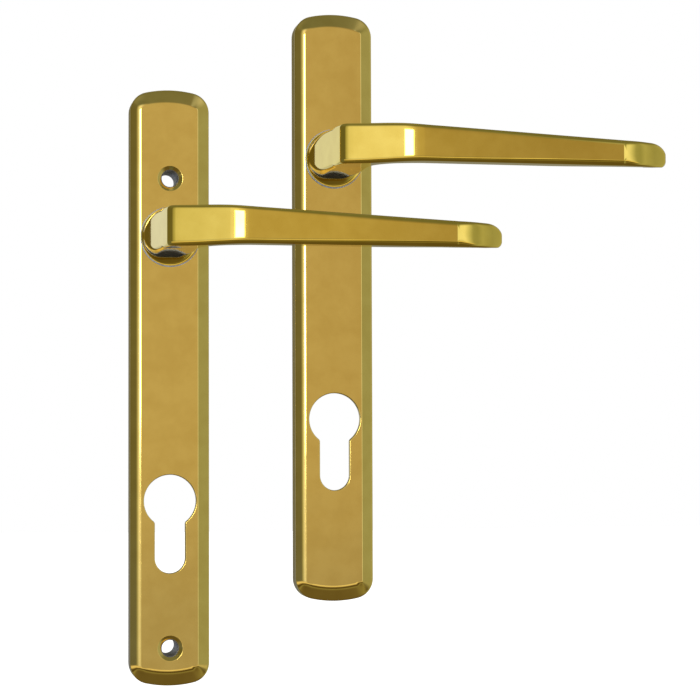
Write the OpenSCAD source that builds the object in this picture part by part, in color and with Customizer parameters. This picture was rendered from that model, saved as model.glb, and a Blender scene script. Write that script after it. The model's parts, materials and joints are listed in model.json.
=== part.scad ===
// Pair of lever door handles on long narrow backplates, each with a cylinder cut-out.
// Millimetres. +Z runs up along the plates, +X along the levers, -Y away from the door.
// The origin is the inside handle's spindle axis, in the plane of the plates' back rims.

/* [Backplate] */
// Width of a backplate
plate_w = 27.6; // [26:0.1:32]
// Spindle axis to the top end of the plate
plate_up = 51.7; // [45:0.1:60]
// Spindle axis to the bottom end of the plate
plate_down = 156; // [150:0.5:170]
// Depth of the plate, back rim to front face
plate_t = 9; // [8.5:0.1:11]
// Width of the bevel round the front face
bevel_w = 3.4; // [2:0.1:4]
// Depth of that bevel
bevel_d = 2; // [1:0.1:2.5]
// Radius of the shallow arc across each end
end_r = 38; // [30:1:60]
// Radius of the corners
corner_r = 7; // [5:0.5:9]
// Thickness of the casting
wall_t = 2.2; // [1.8:0.1:2.6]

/* [Cylinder cut-out] */
// Spindle axis to the centre of the cylinder
cylinder_drop = 92; // [85:1:92]
// Diameter of the round part
cutout_d = 18.2; // [17.5:0.1:18.6]
// Width of the slot below it
cutout_slot_w = 10.6; // [10.2:0.1:11]
// Height of the whole cut-out
cutout_h = 34.2; // [33.5:0.1:35]

/* [Fixings] */
// Spindle axis up to the upper fixing
fixing_up = 20.5; // [19:0.5:25]
// Spindle axis down to the lower fixing
fixing_down = 143; // [140:0.5:146]
// Diameter of a plain screw hole
screw_hole_d = 5.7; // [5.2:0.1:6]
// Diameter of its countersink at the face
countersink_d = 8.4; // [8:0.1:9.4]
// Diameter of the boss behind a fixing
boss_d = 10; // [9.4:0.2:11]
// Length of boss standing behind the back rim
boss_back = 7; // [3:0.5:10]
// Diameter of the threaded posts, outside handle
post_d = 8; // [7:0.2:8]
// Diameter of the hole for an M5 thread
thread_hole_d = 4.2; // [4.1:0.1:4.4]
// Depth of the threaded holes
thread_depth = 12; // [8:1:12]

/* [Lever] */
// Front of the grip to the back rim of the plate
grip_front = 59; // [52:0.5:65]
// Spindle axis to the tip
lever_reach = 108.6; // [100:0.2:120]
// Height of the neck
neck_h = 13; // [12:0.5:14]
// Neck's outer side to the spindle axis
neck_left = 6.8; // [6:0.1:7]
// Neck's inner side to the spindle axis
neck_right = 6.6; // [6:0.1:7]
// Thickness of the grip, front to back
grip_t = 8.2; // [7:0.1:9]
// How far the lever's left corner sits behind the grip's front
corner_set_back = 7; // [4:0.5:9]
// Height of the grip where its tip begins
grip_end_h = 8.8; // [7:0.1:10]
// Radius of the round flange against the plate
flange_r = 10.2; // [9.5:0.1:11]

/* [Spindle and return spring] */
// Side of the square spindle
spindle_w = 8; // [7:1:8]
// Length of spindle held in the lever
spindle_held = 24; // [18:1:26]
// Length of spindle behind the plate
spindle_out = 66; // [40:1:80]
// Radius of the lever's shank in its bearing
shank_r = 7; // [6.8:0.1:7.2]
// Running clearance round the shank
running_gap = 0.05; // [0.02:0.01:0.08]
// Wire diameter of the return spring
wire_d = 1.05; // [0.9:0.05:1.1]
// Mean radius of the spring
spring_r = 10.1; // [10:0.05:10.3]

/* [Pair] */
// Outside handle's axis to the right of the inside handle's
pair_right = 58.2; // [50:0.1:70]
// Outside handle's axis above the inside handle's
pair_up = 28.4; // [20:0.1:40]

/* [Hidden] */
$fn = 64;
arc_steps = 10;
cut = 1;
seam = 0.02;

// Outline of the plate
plate_mid = (plate_up - plate_down) / 2;
half_l = (plate_up + plate_down) / 2;
corner_x = plate_w / 2 - corner_r;
corner_rise = sqrt(pow(end_r - corner_r, 2) - pow(corner_x, 2));
corner_angle = atan2(corner_rise, corner_x);
end_arc_y = half_l - end_r;
corner_y = end_arc_y + corner_rise;

// Layers of the mechanism, measured out from the back rim
inner_z = plate_t - wall_t;
shank_end_z = 0.2;
clip_z = 0.5;
clip_t = 0.7;
shim_z = 1.25;
shim_t = 0.3;
cover_z = 1.6;
cover_t = 0.7;
cam_z = 2.4;
cam_t = 0.9;
collar_z = 3.5;
coil_z = 3.95;
coil_pitch = 1.08;
coil_turns = 2;
bush_r = shank_r + 1.2;
collar_r = bush_r + 0.8;
washer_t = 0.48;
flange_z = plate_t + washer_t + 0.1;
groove_r = 6.4;
shank_flat = 6;
cam_r = 8.9;
lug_w = 3;
lug_r = [11.4, 13.4];
lug_top_z = 6.2;
peg_r = 1.5;
peg_y = -15.4;
leg_x = lug_w / 2 + wire_d / 2 + 0.1;
leg_end_y = -17;
cover_w = 22.4;
cover_y = [-21.4, 13.8];
cover_corner_r = 3;
cover_screws = [[8.9, 10.6], [-8.9, -18]];
pillar_r = 1.9;
pilot_r = 0.87;
small_screw_r = 0.85;
small_head_r = 1.6;
rib_ys = [-42, -72, -122];
rib_t = 1.4;
rib_z = 3.4;

// Shape of the lever
socket_w = spindle_w + 0.1;
socket_depth = spindle_held + 2.2;
flare_h = 8;
flare_start = 0.9;
neck_corner_r = 3;
bend_x = 18.6;
bend_r = 30;
tip_x = 91.3;
tip_turn = 10;
tip_sweep = 38;
tip_r = 34;
tip_end_z = 41;
inner_fillet_r = 8;
tip_round_r = lever_reach - tip_x;
tip_nose_r = (tip_round_r - tip_r * (sin(tip_sweep) - sin(tip_turn))) / (1 - sin(tip_sweep));
slope_angle = atan2(corner_set_back - 0.8, bend_x + neck_left);
top_slope_x = 12;
tip_fall = 0.4;
tip_top_r = 3.6;
tip_corner_r = 2;
tip_nose_end_r = 3.4;
tip_inner_r = 7;

// Points on an arc about c, from angle a0 to a1
function arc(c, r, a0, a1, n = arc_steps) =
  [for (i = [0 : n]) c + r * [cos(a0 + (a1 - a0) * i / n), sin(a0 + (a1 - a0) * i / n)]];

// One end of the plate, drawn in by an inset, about the plate's middle
function plate_end(inset) = concat(
  arc([corner_x, corner_y], corner_r - inset, 0, corner_angle),
  arc([0, end_arc_y], end_r - inset, corner_angle, 180 - corner_angle),
  arc([-corner_x, corner_y], corner_r - inset, 180 - corner_angle, 180)
);

// Points of the torsion spring: a leg, the coil, the other leg
leg_angle = asin(leg_x / spring_r);
coil_sweep = 360 * coil_turns - 2 * leg_angle;
coil_steps = 64;
function coil_point(t) = [
  spring_r * cos(-90 + leg_angle + coil_sweep * t),
  spring_r * sin(-90 + leg_angle + coil_sweep * t),
  coil_z + coil_pitch * coil_turns * t
];
function spring_path() = concat(
  [[leg_x, leg_end_y, coil_z]],
  [for (i = [0 : coil_steps]) coil_point(i / coil_steps)],
  [[-leg_x, leg_end_y, coil_z + coil_pitch * coil_turns]]
);

// A round tube along a path that stays nearly level
module tube(path, r, sides = 10) {
  n = len(path);
  function heading(i) =
    let (a = path[max(i - 1, 0)], b = path[min(i + 1, n - 1)]) (b - a) / norm(b - a);
  function ring(i) =
    let (h = heading(i), across = cross(h, [0, 0, 1]), u = across / norm(across), v = cross(u, h))
    [for (k = [0 : sides - 1]) path[i] + r * (u * cos(360 * k / sides) + v * sin(360 * k / sides))];
  points = [for (i = [0 : n - 1]) each ring(i)];
  walls = [
    for (i = [0 : n - 2], k = [0 : sides - 1])
      let (a = i * sides + k, b = i * sides + (k + 1) % sides) [a, a + sides, b + sides, b]
  ];
  first_cap = [for (k = [0 : sides - 1]) k];
  last_cap = [for (k = [sides - 1 : -1 : 0]) (n - 1) * sides + k];
  polyhedron(points, concat([first_cap, last_cap], walls));
}

// A handle is drawn lying back down: x right, y up, z out from the door
module inside_handle() {
  rotate([90, 0, 0]) children();
}

module outside_handle() {
  translate([pair_right, 0, pair_up]) rotate([90, 0, 0]) children();
}

module plate_outline(inset) {
  ends = plate_end(inset);
  translate([0, plate_mid]) polygon(concat(ends, -1 * ends));
}

module ring(r_out, r_in, z, h) {
  difference() {
    translate([0, 0, z]) cylinder(r = r_out, h = h);
    translate([0, 0, z - cut]) cylinder(r = r_in, h = h + 2 * cut);
  }
}

module shell() {
  difference() {
    union() {
      linear_extrude(plate_t - bevel_d) plate_outline(0);
      hull() {
        translate([0, 0, plate_t - bevel_d - seam]) linear_extrude(seam) plate_outline(0);
        translate([0, 0, plate_t - seam]) linear_extrude(seam) plate_outline(bevel_w);
      }
    }
    translate([0, 0, -cut]) linear_extrude(inner_z + cut) plate_outline(wall_t);
  }
}

module cylinder_cutout() {
  slot_bottom = cutout_d / 2 - cutout_h + cutout_slot_w / 2;
  translate([0, -cylinder_drop, inner_z - cut]) {
    cylinder(d = cutout_d, h = wall_t + 2 * cut);
    translate([0, slot_bottom, 0]) cylinder(d = cutout_slot_w, h = wall_t + 2 * cut);
    translate([-cutout_slot_w / 2, slot_bottom, 0])
      cube([cutout_slot_w, -slot_bottom, wall_t + 2 * cut]);
  }
}

module cast_ribs() {
  for (y = rib_ys)
    translate([-plate_w / 2 + wall_t / 2, y - rib_t / 2, rib_z])
      cube([plate_w - wall_t, rib_t, inner_z - rib_z + seam]);
}

module fixing_bosses(back) {
  for (y = [fixing_up, -fixing_down])
    translate([0, y, -back]) cylinder(d = boss_d, h = back + inner_z + seam);
}

// Plate with its bearing collar, spring peg and the pillars for the cover
module plate_casting(back) {
  difference() {
    union() {
      shell();
      cast_ribs();
      fixing_bosses(back);
      translate([0, 0, collar_z]) cylinder(r = collar_r, h = inner_z - collar_z + seam);
      translate([0, peg_y, cam_z]) cylinder(r = peg_r, h = inner_z - cam_z + seam);
      for (p = cover_screws)
        translate([p[0], p[1], cover_z + cover_t])
          cylinder(r = pillar_r, h = inner_z - cover_z - cover_t + seam);
    }
    translate([0, 0, collar_z - cut]) cylinder(r = bush_r, h = plate_t);
    cylinder_cutout();
    for (p = cover_screws)
      translate([p[0], p[1], cover_z]) cylinder(r = pilot_r, h = 4.4);
  }
}

module screw_holes() {
  sink = (countersink_d - screw_hole_d) / 2 + 0.3;
  for (y = [fixing_up, -fixing_down]) {
    translate([0, y, -boss_back - cut]) cylinder(d = screw_hole_d, h = plate_t + boss_back + 2 * cut);
    translate([0, y, plate_t - sink]) cylinder(d1 = screw_hole_d, d2 = countersink_d, h = sink);
    translate([0, y, plate_t]) cylinder(d = countersink_d, h = cut);
  }
}

module bearing_bush() {
  ring(bush_r, shank_r + running_gap, collar_z, plate_t - collar_z);
}

module face_washer() {
  ring(flange_r + 0.3, shank_r + 0.3, plate_t, washer_t);
}

// The lever seen from above: neck, sloping shoulder, straight grip and curved tip
module lever_plan() {
  back_z = grip_front - grip_t;
  corner_z = grip_front - corner_set_back;
  sweep_end = [
    tip_x + tip_r * (sin(tip_sweep) - sin(tip_turn)),
    grip_front - tip_r * (cos(tip_turn) - cos(tip_sweep))
  ];
  nose_centre = sweep_end - tip_nose_r * [sin(tip_sweep), cos(tip_sweep)];
  tip_t = 2 * tip_nose_end_r;
  outer = concat(
    [[-neck_left, flange_z]],
    arc([-neck_left + neck_corner_r, corner_z - neck_corner_r + 0.7], neck_corner_r, 180, 90 + slope_angle),
    arc([bend_x + bend_r * tan(slope_angle / 2), grip_front - bend_r], bend_r, 90 + slope_angle, 90),
    arc([tip_x - tip_r * sin(tip_turn), grip_front - tip_r * cos(tip_turn)], tip_r, 90 - tip_turn, 90 - tip_sweep),
    arc(nose_centre, tip_nose_r, 90 - tip_sweep, 0),
    arc([lever_reach - tip_nose_end_r, tip_end_z + tip_nose_end_r], tip_nose_end_r, 0, -180)
  );
  inner = concat(
    arc([lever_reach - tip_t - tip_inner_r, back_z - tip_inner_r], tip_inner_r, 0, 90),
    arc([neck_right + inner_fillet_r, back_z - inner_fillet_r], inner_fillet_r, 90, 180),
    [[neck_right, flange_z]]
  );
  polygon(concat(outer, inner));
}

// The lever seen from the front: level underside, top falling towards the tip
module lever_front() {
  bottom = -neck_h / 2;
  end_top = bottom + grip_end_h;
  polygon(concat(
    [[-neck_left - cut, bottom], [-neck_left - cut, neck_h / 2]],
    [[top_slope_x, neck_h / 2], [tip_x, end_top]],
    arc([lever_reach - tip_top_r, end_top - tip_fall - tip_top_r], tip_top_r, 90, 0),
    arc([lever_reach - tip_corner_r, bottom + tip_corner_r], tip_corner_r, 0, -90)
  ));
}

module lever_hub() {
  flare = [for (a = [0 : 10 : 90])
    [flange_r - (flange_r - neck_right) * sin(a), flange_z + flare_start + flare_h * (1 - cos(a))]];
  rotate_extrude()
    polygon(concat([[0, flange_z], [flange_r, flange_z]], flare, [[0, flange_z + flare_start + flare_h]]));
}

module lever_shank() {
  translate([0, 0, cam_z + cam_t]) cylinder(r = shank_r, h = flange_z - cam_z - cam_t + seam);
  difference() {
    intersection() {
      translate([0, 0, shank_end_z]) cylinder(r = shank_r, h = cam_z + cam_t - shank_end_z + seam);
      translate([-shank_flat, -shank_r - cut, 0])
        cube([2 * shank_flat, 2 * shank_r + 2 * cut, cam_z + cam_t + cut]);
    }
    ring(shank_r + cut, groove_r, clip_z - seam, clip_t + 2 * seam);
  }
}

module lever() {
  difference() {
    union() {
      intersection() {
        rotate([90, 0, 0]) linear_extrude(2 * neck_h, center = true) lever_plan();
        linear_extrude(grip_front + cut) lever_front();
      }
      lever_hub();
      lever_shank();
    }
    translate([-socket_w / 2, -socket_w / 2, -cut]) cube([socket_w, socket_w, shank_end_z + socket_depth + cut]);
  }
}

// Ring on the shank's flats, with a lug between the spring's legs
module drive_cam() {
  difference() {
    union() {
      translate([0, 0, cam_z]) cylinder(r = cam_r, h = cam_t);
      translate([-lug_w / 2, -lug_r[1], cam_z]) cube([lug_w, lug_r[1] - shank_r - running_gap, cam_t]);
      translate([-lug_w / 2, -lug_r[1], cam_z]) cube([lug_w, lug_r[1] - lug_r[0], lug_top_z - cam_z]);
    }
    intersection() {
      translate([0, 0, cam_z - cut]) cylinder(r = shank_r + running_gap, h = cam_t + 2 * cut);
      translate([-shank_flat - running_gap, -2 * shank_r, cam_z - cut])
        cube([2 * (shank_flat + running_gap), 4 * shank_r, cam_t + 2 * cut]);
    }
  }
}

module return_spring() {
  tube(spring_path(), wire_d / 2);
}

module spring_cover() {
  corners = [for (x = [-1, 1], y = [0, 1])
    [x * (cover_w / 2 - cover_corner_r), cover_y[y] + (y == 0 ? 1 : -1) * cover_corner_r]];
  difference() {
    translate([0, 0, cover_z]) union() {
      for (c = corners) translate([c[0], c[1], 0]) cylinder(r = cover_corner_r, h = cover_t);
      translate([-cover_w / 2, cover_y[0] + cover_corner_r, 0])
        cube([cover_w, cover_y[1] - cover_y[0] - 2 * cover_corner_r, cover_t]);
      translate([-cover_w / 2 + cover_corner_r, cover_y[0], 0])
        cube([cover_w - 2 * cover_corner_r, cover_y[1] - cover_y[0], cover_t]);
    }
    cylinder(r = shank_r + 0.35, h = plate_t);
    for (p = cover_screws) translate([p[0], p[1], 0]) cylinder(r = small_screw_r + 0.15, h = plate_t);
  }
}

module small_screws() {
  for (p = cover_screws) translate([p[0], p[1], 0]) {
    difference() {
      translate([0, 0, cover_z - 0.8]) cylinder(r = small_head_r, h = 0.8);
      for (turn = [0, 90]) rotate([0, 0, turn]) translate([-1.1, -0.2, 0]) cube([2.2, 0.4, cover_z - 0.4]);
    }
    translate([0, 0, cover_z - seam]) cylinder(r = small_screw_r, h = 4);
  }
}

module shim_washer() {
  ring(9.4, shank_r + running_gap, shim_z, shim_t);
}

// Open ring with an eye at each end
module circlip() {
  gap = 50;
  eye_r = 1.3;
  eye_at = groove_r + 1.6;
  difference() {
    union() {
      ring(groove_r + 1.7, groove_r + seam, clip_z, clip_t);
      for (a = [90 - gap / 2 - 8, 90 + gap / 2 + 8])
        rotate([0, 0, a]) translate([eye_at, 0, clip_z]) cylinder(r = eye_r, h = clip_t);
    }
    for (a = [90 - gap / 2 - 8, 90 + gap / 2 + 8])
      rotate([0, 0, a]) translate([eye_at + 0.1, 0, 0]) cylinder(r = 0.6, h = plate_t);
    translate([0, 0, -cut]) linear_extrude(plate_t)
      polygon([[0, 0], 20 * [cos(90 - gap / 2), sin(90 - gap / 2)], 20 * [cos(90 + gap / 2), sin(90 + gap / 2)]]);
    translate([0, 0, -cut]) cylinder(r = groove_r + seam, h = plate_t);
  }
}

module square_spindle() {
  bevel = 0.8;
  side = spindle_w;
  translate([-side / 2, -side / 2, -spindle_out + bevel])
    cube([side, side, spindle_out + spindle_held + shank_end_z - bevel]);
  hull() {
    translate([-side / 2, -side / 2, -spindle_out + bevel]) cube([side, side, seam]);
    translate([-side / 2 + bevel, -side / 2 + bevel, -spindle_out]) cube([side - 2 * bevel, side - 2 * bevel, seam]);
  }
}

module threaded_posts() {
  seat = 0.8;
  for (y = [fixing_up, -fixing_down]) translate([0, y, -boss_back]) difference() {
    cylinder(d = post_d - 2 * seam, h = boss_back + inner_z - seat);
    translate([0, 0, -cut]) cylinder(d = thread_hole_d, h = thread_depth + cut);
    translate([0, 0, -seam]) cylinder(d1 = thread_hole_d + 1.2, d2 = thread_hole_d, h = 0.6);
  }
}

module inside_backplate() {
  color("goldenrod") inside_handle() difference() {
    plate_casting(boss_back);
    screw_holes();
  }
}

module outside_backplate() {
  seat = 0.8;
  color("goldenrod") outside_handle() difference() {
    plate_casting(0);
    for (y = [fixing_up, -fixing_down])
      translate([0, y, -cut]) cylinder(d = post_d, h = cut + inner_z - seat);
  }
}

module inside_bearing_bush() { color("ivory") inside_handle() bearing_bush(); }
module inside_face_washer() { color("gray") inside_handle() face_washer(); }
module inside_lever() { color("gold") inside_handle() lever(); }
module inside_drive_cam() { color("silver") inside_handle() drive_cam(); }
module inside_return_spring() { color("dimgray") inside_handle() return_spring(); }
module inside_spring_cover() { color("lightsteelblue") inside_handle() spring_cover(); }
module inside_cover_screws() { color("silver") inside_handle() small_screws(); }
module inside_shim_washer() { color("silver") inside_handle() shim_washer(); }
module inside_circlip() { color("dimgray") inside_handle() circlip(); }
module spindle() { color("silver") inside_handle() square_spindle(); }
module outside_threaded_posts() { color("silver") outside_handle() threaded_posts(); }
module outside_bearing_bush() { color("ivory") outside_handle() bearing_bush(); }
module outside_face_washer() { color("gray") outside_handle() face_washer(); }
module outside_lever() { color("gold") outside_handle() lever(); }
module outside_drive_cam() { color("silver") outside_handle() drive_cam(); }
module outside_return_spring() { color("dimgray") outside_handle() return_spring(); }
module outside_spring_cover() { color("lightsteelblue") outside_handle() spring_cover(); }
module outside_cover_screws() { color("silver") outside_handle() small_screws(); }
module outside_shim_washer() { color("silver") outside_handle() shim_washer(); }
module outside_circlip() { color("dimgray") outside_handle() circlip(); }

inside_backplate();
inside_bearing_bush();
inside_face_washer();
inside_lever();
inside_drive_cam();
inside_return_spring();
inside_spring_cover();
inside_cover_screws();
inside_shim_washer();
inside_circlip();
spindle();
outside_backplate();
outside_threaded_posts();
outside_bearing_bush();
outside_face_washer();
outside_lever();
outside_drive_cam();
outside_return_spring();
outside_spring_cover();
outside_cover_screws();
outside_shim_washer();
outside_circlip();
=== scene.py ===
"""Looks for a pair of polished lever door handles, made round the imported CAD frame."""

import json
import math

import bmesh
import bpy
from mathutils import Euler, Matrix, Quaternion, Vector, geometry


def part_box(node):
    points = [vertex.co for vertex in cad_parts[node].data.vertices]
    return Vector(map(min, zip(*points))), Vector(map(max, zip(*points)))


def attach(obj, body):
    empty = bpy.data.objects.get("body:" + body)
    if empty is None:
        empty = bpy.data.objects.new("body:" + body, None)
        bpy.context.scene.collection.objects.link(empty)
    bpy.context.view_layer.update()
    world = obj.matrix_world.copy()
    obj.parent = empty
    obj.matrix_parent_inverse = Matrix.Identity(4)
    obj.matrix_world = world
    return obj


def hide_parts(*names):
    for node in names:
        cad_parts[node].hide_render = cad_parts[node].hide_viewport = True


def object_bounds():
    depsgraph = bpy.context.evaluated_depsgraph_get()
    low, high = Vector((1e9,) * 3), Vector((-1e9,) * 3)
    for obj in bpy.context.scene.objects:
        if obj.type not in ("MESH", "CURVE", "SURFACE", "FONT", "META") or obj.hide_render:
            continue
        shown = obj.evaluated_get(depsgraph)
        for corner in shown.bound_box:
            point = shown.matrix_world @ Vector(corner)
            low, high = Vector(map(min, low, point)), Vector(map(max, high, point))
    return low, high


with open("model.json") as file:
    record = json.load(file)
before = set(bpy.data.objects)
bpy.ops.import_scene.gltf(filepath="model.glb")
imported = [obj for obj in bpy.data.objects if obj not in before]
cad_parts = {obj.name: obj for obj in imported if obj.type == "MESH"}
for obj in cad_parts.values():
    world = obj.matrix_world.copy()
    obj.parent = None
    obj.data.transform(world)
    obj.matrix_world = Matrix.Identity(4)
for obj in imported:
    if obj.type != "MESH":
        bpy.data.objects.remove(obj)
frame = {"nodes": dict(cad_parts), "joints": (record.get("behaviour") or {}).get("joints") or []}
CAD_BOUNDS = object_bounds()
MM = 0.001

# ---------------------------------------------------------------- sizes, in millimetres
# A handle is described lying back down: x right, y up, z out from the door, spindle axis at 0.
# The outer sizes come from the frame.
plate_low, plate_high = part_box("inside_backplate")
lever_low, lever_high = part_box("inside_lever")
PLATE_W = (plate_high.x - plate_low.x) / MM
PLATE_UP = plate_high.z / MM
PLATE_DOWN = -plate_low.z / MM
PLATE_T = -plate_low.y / MM
BOSS_BACK = plate_high.y / MM
GRIP_FRONT = -lever_low.y / MM
LEVER_REACH = lever_high.x / MM

# backplate: its walls, the bevel round its front and the rounded crease between bevel and face
WALL_T = 2.2
INNER_Z = PLATE_T - WALL_T
BEVEL_W = 3.47
BEVEL_LEAN = 0.62
BEVEL_END = 1.25
BEVEL_D = 1.6
END_R = 38.0
CORNER_R = 7.0
CREASE_R = 2.65
CREASE_LEAN = 1.75
FOOT_CREASE_R = 7.0
SIDE_EDGE = 0.35
RIM_EDGE_R = 0.4
ROOT_FILLET = 0.5

# backplate: its openings, and the bosses, collar, peg, pillars and ribs inside it
CYLINDER_DROP = 92.0
CUTOUT_R = 9.1
CUTOUT_SLOT_R = 5.3
CUTOUT_H = 34.2
CUTOUT_JOIN_R = 1.3
FIXINGS = (20.5, -143.0)
SCREW_HOLE_R = 2.85
SCREW_LIP_R = 4.2
SCREW_SINK_R = 3.0
SCREW_SINK_Z = 7.95
BOSS_R = 5.0
POST_R = 4.0
POST_SEAT = 0.8
BUSH_R = 8.2
COLLAR_R = 9.0
COLLAR_Z = 3.5
PEG_Y, PEG_R, PEG_Z = -15.4, 1.5, 2.4
PILLARS = ((8.9, 10.6), (-8.9, -18.0))
PILLAR_R, PILLAR_Z, PILOT_R, PILOT_END = 1.9, 2.3, 0.87, 6.0
RIBS = (-42.0, -72.0, -122.0)
RIB_T, RIB_Z = 1.4, 3.4

# lever: its neck, the bend of the grip and the tip
NECK_H = 13.5
NECK_LEFT = 5.4
NECK_RIGHT = 6.6
NECK_LEAN = 0.11
GRIP_T = 8.2
BACK_Z = GRIP_FRONT - GRIP_T
CORNER_DEPTH = 9.3
SLOPE_RISE = 6.2
NECK_CORNER_R = 3.0
SHOULDER_EDGE_R = 1.6
GRIP_EDGE_R = 3.0
TIP_EDGE_R = 2.6
FLAT_RUN = (30, 82)
FLAT_TILT = 0.11
BEND_X = 18.6
BEND_R = 30.0
BEND_END_X = 22.0
BEND_TOP, BEND_BOTTOM = 6.2, -6.15
TIP_TOP, TIP_BOTTOM = 2.3, -6.5
GRIP_END_H = TIP_TOP - TIP_BOTTOM
TIP_X = 91.3
TIP_TURN = 7.0
TIP_SWEEP = 38.0
TIP_R = 34.0
TIP_END_Z = 41.0
TIP_FALL = 0.4
TIP_TOP_R = 6.5
TIP_TOP_DROP = 3.9
TIP_LIFT = 0.11
TIP_LIFT_DEPTH = 4.0
TIP_LIFT_RUN = 25.0
TIP_CORNER_R = 2.0
TIP_NOSE_END_R = 3.4
NOSE_END_EDGE = 0.5
NOSE_END_H = 0.65
TIP_INNER_R = 7.0
INNER_FILLET_R = 8.0

# lever: its flange, the flare above it, and the shank with the spindle's socket
FLANGE_R = 10.2
FLANGE_Z = PLATE_T + 0.58
FLARE_START = 0.9
FLARE_H = 3.4
NECK_DRAFT = 0.6
NECK_DRAFT_RIGHT = 0.5
NECK_FLAT = 5.3
NECK_EDGE_R = 1.0
SHANK_R = 7.0
SHANK_FLAT = 6.0
SHANK_END_Z = 0.2
FLATS_TOP_Z = 3.3
GROOVE_R = 6.4
GROOVE_Z = (0.5, 1.2)
SOCKET_HALF = 4.05
SOCKET_END_Z = 26.4

# return spring
WIRE_R = 0.525
SPRING_R = 10.1
COIL_Z = 3.95
COIL_RISE = 2.16
COIL_TURNS = 2
LEG_X = 2.125
LEG_END_Y = -17.0


# ---------------------------------------------------------------- small geometry helpers
def arc(cx, cy, radius, start, end, steps):
    """Points on an arc, angles in degrees."""
    turn = (math.radians(start + (end - start) * i / steps) for i in range(steps + 1))
    return [(cx + radius * math.cos(a), cy + radius * math.sin(a)) for a in turn]


def quarter(step, end=90):
    """The sine and cosine at every step of degrees, up to a right angle or a smaller end."""
    return [(math.sin(math.radians(a)), math.cos(math.radians(a))) for a in range(0, end + 1, step)]


def smooth_step(low, high, value):
    """Smoothly from 0 at low to 1 at high."""
    t = min(max((value - low) / (high - low), 0.0), 1.0)
    return t * t * (3 - 2 * t)


def mix(a, b, t):
    return a + (b - a) * t


def cross_at(line, value, axis):
    """The other coordinate where an open line of points first reaches a value along an axis."""
    for p, q in zip(line, line[1:]):
        if (p[axis] - value) * (q[axis] - value) <= 0 and p[axis] != q[axis]:
            return mix(p[1 - axis], q[1 - axis], (value - p[axis]) / (q[axis] - p[axis]))
    raise ValueError(f"the line never reaches {value}")


def ray_hit(line, centre, angle):
    """Where a ray from the centre, at an angle in degrees, first crosses an open line of points."""
    dx, dy = math.cos(math.radians(angle)), math.sin(math.radians(angle))
    best = None
    for p, q in zip(line, line[1:]):
        ex, ey = q[0] - p[0], q[1] - p[1]
        det = ex * dy - ey * dx
        if abs(det) < 1e-12:
            continue
        px, py = p[0] - centre[0], p[1] - centre[1]
        along = (ex * py - ey * px) / det
        share = (dx * py - dy * px) / det
        if along > 0 and -1e-6 <= share <= 1 + 1e-6 and (best is None or along < best):
            best = along
    return centre[0] + best * dx, centre[1] + best * dy


def add_ring(bm, points):
    return [bm.verts.new(p) for p in points]


def bridge(bm, ring, other, material=0):
    """Quads between two closed rings with the same number of points."""
    for i in range(len(ring)):
        j = (i + 1) % len(ring)
        bm.faces.new((ring[i], ring[j], other[j], other[i])).material_index = material


def chain(bm, rings, material=0):
    """Joins a run of rings and returns the first and the last."""
    made = [add_ring(bm, points) for points in rings]
    for a, b in zip(made, made[1:]):
        bridge(bm, a, b, material)
    return made[0], made[-1]


def cap(bm, ring, material=0):
    bm.faces.new(ring).material_index = material


def circle(cx, cy, radius, z, steps=64):
    turns = (2 * math.pi * i / steps for i in range(steps))
    return [(cx + radius * math.cos(a), cy + radius * math.sin(a), z) for a in turns]


def turned(cx, cy, profile, steps=64):
    """One circle for each (radius, height) of a profile."""
    return [circle(cx, cy, r, z, steps) for r, z in profile]


def inside(loop, x, y):
    """Whether a point lies inside a closed loop."""
    found = False
    for (x0, y0), (x1, y1) in zip(loop, loop[1:] + loop[:1]):
        if (y0 > y) != (y1 > y) and x < x0 + (x1 - x0) * (y - y0) / (y1 - y0):
            found = not found
    return found


def fill(bm, outer, holes, material=0):
    """Triangles over the flat region inside one ring and outside the others."""
    rings = [outer] + holes
    corners = [v for ring in rings for v in ring]
    edges = []
    for ring in rings:
        start = len(edges)
        edges += [(start + i, start + (i + 1) % len(ring)) for i in range(len(ring))]
    flat = [Vector((v.co.x, v.co.y)) for v in corners]
    points, _, faces, sources, _, _ = geometry.delaunay_2d_cdt(flat, edges, [], 0, 1e-6)
    loops = [[(v.co.x, v.co.y) for v in ring] for ring in rings]
    for face in faces:
        x = sum(points[i].x for i in face) / len(face)
        y = sum(points[i].y for i in face) / len(face)
        if inside(loops[0], x, y) and not any(inside(loop, x, y) for loop in loops[1:]):
            bm.faces.new([corners[sources[i][0]] for i in face]).material_index = material


def add_to_scene(thing):
    bpy.context.scene.collection.objects.link(thing)


def to_world(bm, offset):
    """Millimetres, lying back down, to metres, standing up, at a handle's axis."""
    for v in bm.verts:
        x, y, z = v.co
        v.co = Vector((x * MM, -z * MM, y * MM)) + offset


def make_piece(name, bm, offset, materials, sharp=30):
    """An object at a handle's axis, smooth but for edges sharper than an angle in degrees."""
    to_world(bm, offset)
    bmesh.ops.recalc_face_normals(bm, faces=bm.faces)
    mesh = bpy.data.meshes.new(name)
    for face in bm.faces:
        face.smooth = True
    bm.to_mesh(mesh)
    bm.free()
    mesh.set_sharp_from_angle(angle=math.radians(sharp))
    for material in materials:
        mesh.materials.append(material)
    piece = bpy.data.objects.new(name, mesh)
    add_to_scene(piece)
    return piece


# ---------------------------------------------------------------- backplate
BRASS_FACE, RAW_CASTING = 0, 1


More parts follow.
